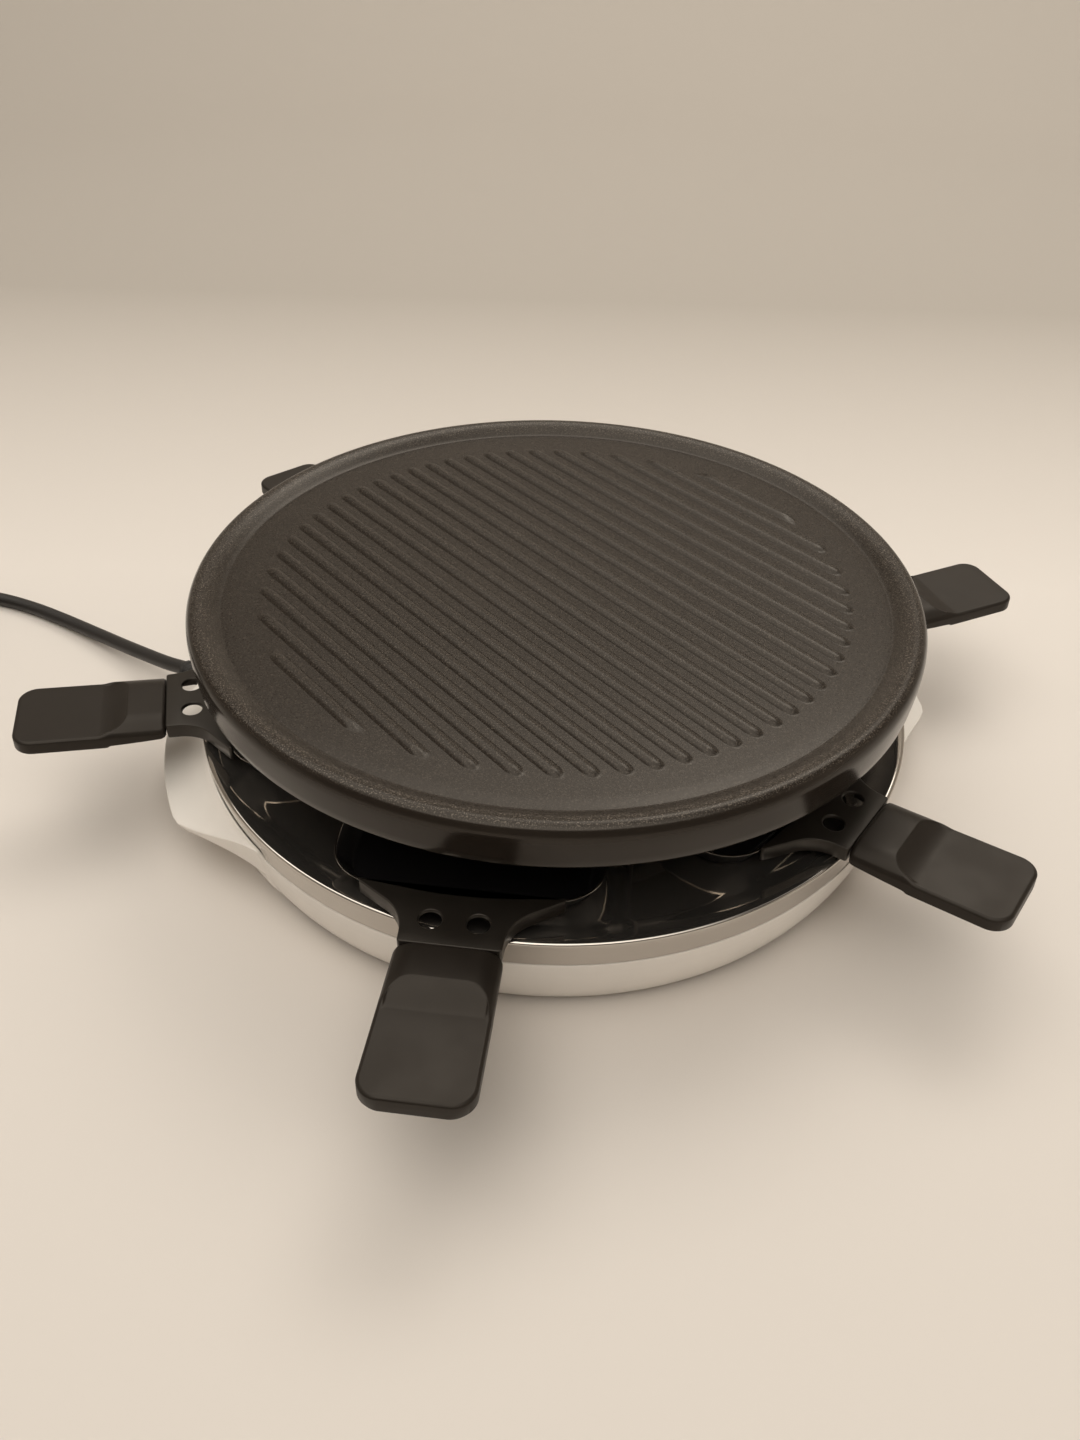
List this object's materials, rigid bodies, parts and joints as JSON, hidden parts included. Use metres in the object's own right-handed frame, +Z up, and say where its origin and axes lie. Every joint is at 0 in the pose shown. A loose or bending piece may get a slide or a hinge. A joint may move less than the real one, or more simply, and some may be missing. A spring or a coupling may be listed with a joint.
{
  "type": "raclette grill",
  "caption": "Round raclette grill: ribbed lift-off plate above small pans with flat black grips, which lie on a mirror-bright tray in a white base with two ears.",
  "frame": {"origin": "on the floor under the middle of the body without its cord", "axes": "+X to the right ear side and the longest extent, +Y away from the front pan, +Z up"},
  "size_m": [0.682, 0.4385, 0.0985],
  "materials": {
    "grill_plate": "dark brown-grey speckled non-stick coating on cast aluminium, matt",
    "reflector_tray": "mirror-polished stainless sheet",
    "base_shell": "warm white moulded plastic, satin gloss",
    "base_cover": "warm white moulded plastic",
    "foot_1": "black rubber",
    "foot_2": "black rubber",
    "foot_3": "black rubber",
    "foot_4": "black rubber",
    "heating_element": "dark oxidised steel tube",
    "element_bracket_1": "plain sheet steel",
    "element_bracket_2": "plain sheet steel",
    "element_bracket_3": "plain sheet steel",
    "terminal_shroud": "plain sheet steel",
    "terminal_block": "unglazed ceramic",
    "cord_gland": "black rubber",
    "cord_lead": "black cable sheath",
    "cord_coil": "black cable sheath",
    "plug_body": "black moulded plastic",
    "plug_pin_1": "nickel-plated pin",
    "plug_pin_2": "nickel-plated pin",
    "pan_dish_1": "black non-stick coating on sheet steel, bare bright edge at the rim",
    "pan_collar_1": "black-brown heat-proof moulding, satin",
    "pan_grip_1": "black-brown heat-proof moulding, fine matt",
    "grip_screw_1": "plain steel",
    "pan_dish_2": "black non-stick coating on sheet steel, bare bright edge at the rim",
    "pan_collar_2": "black-brown heat-proof moulding, satin",
    "pan_grip_2": "black-brown heat-proof moulding, fine matt",
    "grip_screw_2": "plain steel",
    "pan_dish_3": "black non-stick coating on sheet steel, bare bright edge at the rim",
    "pan_collar_3": "black-brown heat-proof moulding, satin",
    "pan_grip_3": "black-brown heat-proof moulding, fine matt",
    "grip_screw_3": "plain steel",
    "pan_dish_4": "black non-stick coating on sheet steel, bare bright edge at the rim",
    "pan_collar_4": "black-brown heat-proof moulding, satin",
    "pan_grip_4": "black-brown heat-proof moulding, fine matt",
    "grip_screw_4": "plain steel",
    "pan_dish_5": "black non-stick coating on sheet steel, bare bright edge at the rim",
    "pan_collar_5": "black-brown heat-proof moulding, satin",
    "pan_grip_5": "black-brown heat-proof moulding, fine matt",
    "grip_screw_5": "plain steel",
    "pan_dish_6": "black non-stick coating on sheet steel, bare bright edge at the rim",
    "pan_collar_6": "black-brown heat-proof moulding, satin",
    "pan_grip_6": "black-brown heat-proof moulding, fine matt",
    "grip_screw_6": "plain steel"
  },
  "bodies": {
    "base": {"reflector_tray": "reflector_tray", "base_shell": "base_shell", "base_cover": "base_cover", "foot_1": "foot_1", "foot_2": "foot_2", "foot_3": "foot_3", "foot_4": "foot_4", "heating_element": "heating_element", "element_bracket_1": "element_bracket_1", "element_bracket_2": "element_bracket_2", "element_bracket_3": "element_bracket_3", "terminal_shroud": "terminal_shroud", "terminal_block": "terminal_block", "cord_gland": "cord_gland", "cord_lead": "cord_lead", "cord_coil": "cord_coil", "plug_body": "plug_body", "plug_pin_1": "plug_pin_1", "plug_pin_2": "plug_pin_2"},
    "plate": {"grill_plate": "grill_plate"},
    "pan_1": {"pan_dish_1": "pan_dish_1", "pan_collar_1": "pan_collar_1", "pan_grip_1": "pan_grip_1", "grip_screw_1": "grip_screw_1"},
    "pan_2": {"pan_dish_2": "pan_dish_2", "pan_collar_2": "pan_collar_2", "pan_grip_2": "pan_grip_2", "grip_screw_2": "grip_screw_2"},
    "pan_3": {"pan_dish_3": "pan_dish_3", "pan_collar_3": "pan_collar_3", "pan_grip_3": "pan_grip_3", "grip_screw_3": "grip_screw_3"},
    "pan_4": {"pan_dish_4": "pan_dish_4", "pan_collar_4": "pan_collar_4", "pan_grip_4": "pan_grip_4", "grip_screw_4": "grip_screw_4"},
    "pan_5": {"pan_dish_5": "pan_dish_5", "pan_collar_5": "pan_collar_5", "pan_grip_5": "pan_grip_5", "grip_screw_5": "grip_screw_5"},
    "pan_6": {"pan_dish_6": "pan_dish_6", "pan_collar_6": "pan_collar_6", "pan_grip_6": "pan_grip_6", "grip_screw_6": "grip_screw_6"}
  },
  "joints": [
    {"name": "plate_lift", "type": "slide", "parent": "base", "child": "plate", "axis": [0, 0, 1], "range_m": [0, 0.08]},
    {"name": "pan_draw_1", "type": "slide", "parent": "base", "child": "pan_1", "axis": [-0.3666, -0.9028, 0.225], "range_m": [0, 0.135]},
    {"name": "pan_draw_2", "type": "slide", "parent": "base", "child": "pan_2", "axis": [0.5905, -0.7751, 0.225], "range_m": [0, 0.135]},
    {"name": "pan_draw_3", "type": "slide", "parent": "base", "child": "pan_3", "axis": [0.9714, 0.0764, 0.225], "range_m": [0, 0.135]},
    {"name": "pan_draw_4", "type": "slide", "parent": "base", "child": "pan_4", "axis": [0.5178, 0.8254, 0.225], "range_m": [0, 0.135]},
    {"name": "pan_draw_5", "type": "slide", "parent": "base", "child": "pan_5", "axis": [-0.4241, 0.8772, 0.225], "range_m": [0, 0.135]},
    {"name": "pan_draw_6", "type": "slide", "parent": "base", "child": "pan_6", "axis": [-0.974, 0.0272, 0.225], "range_m": [0, 0.135]}
  ]
}
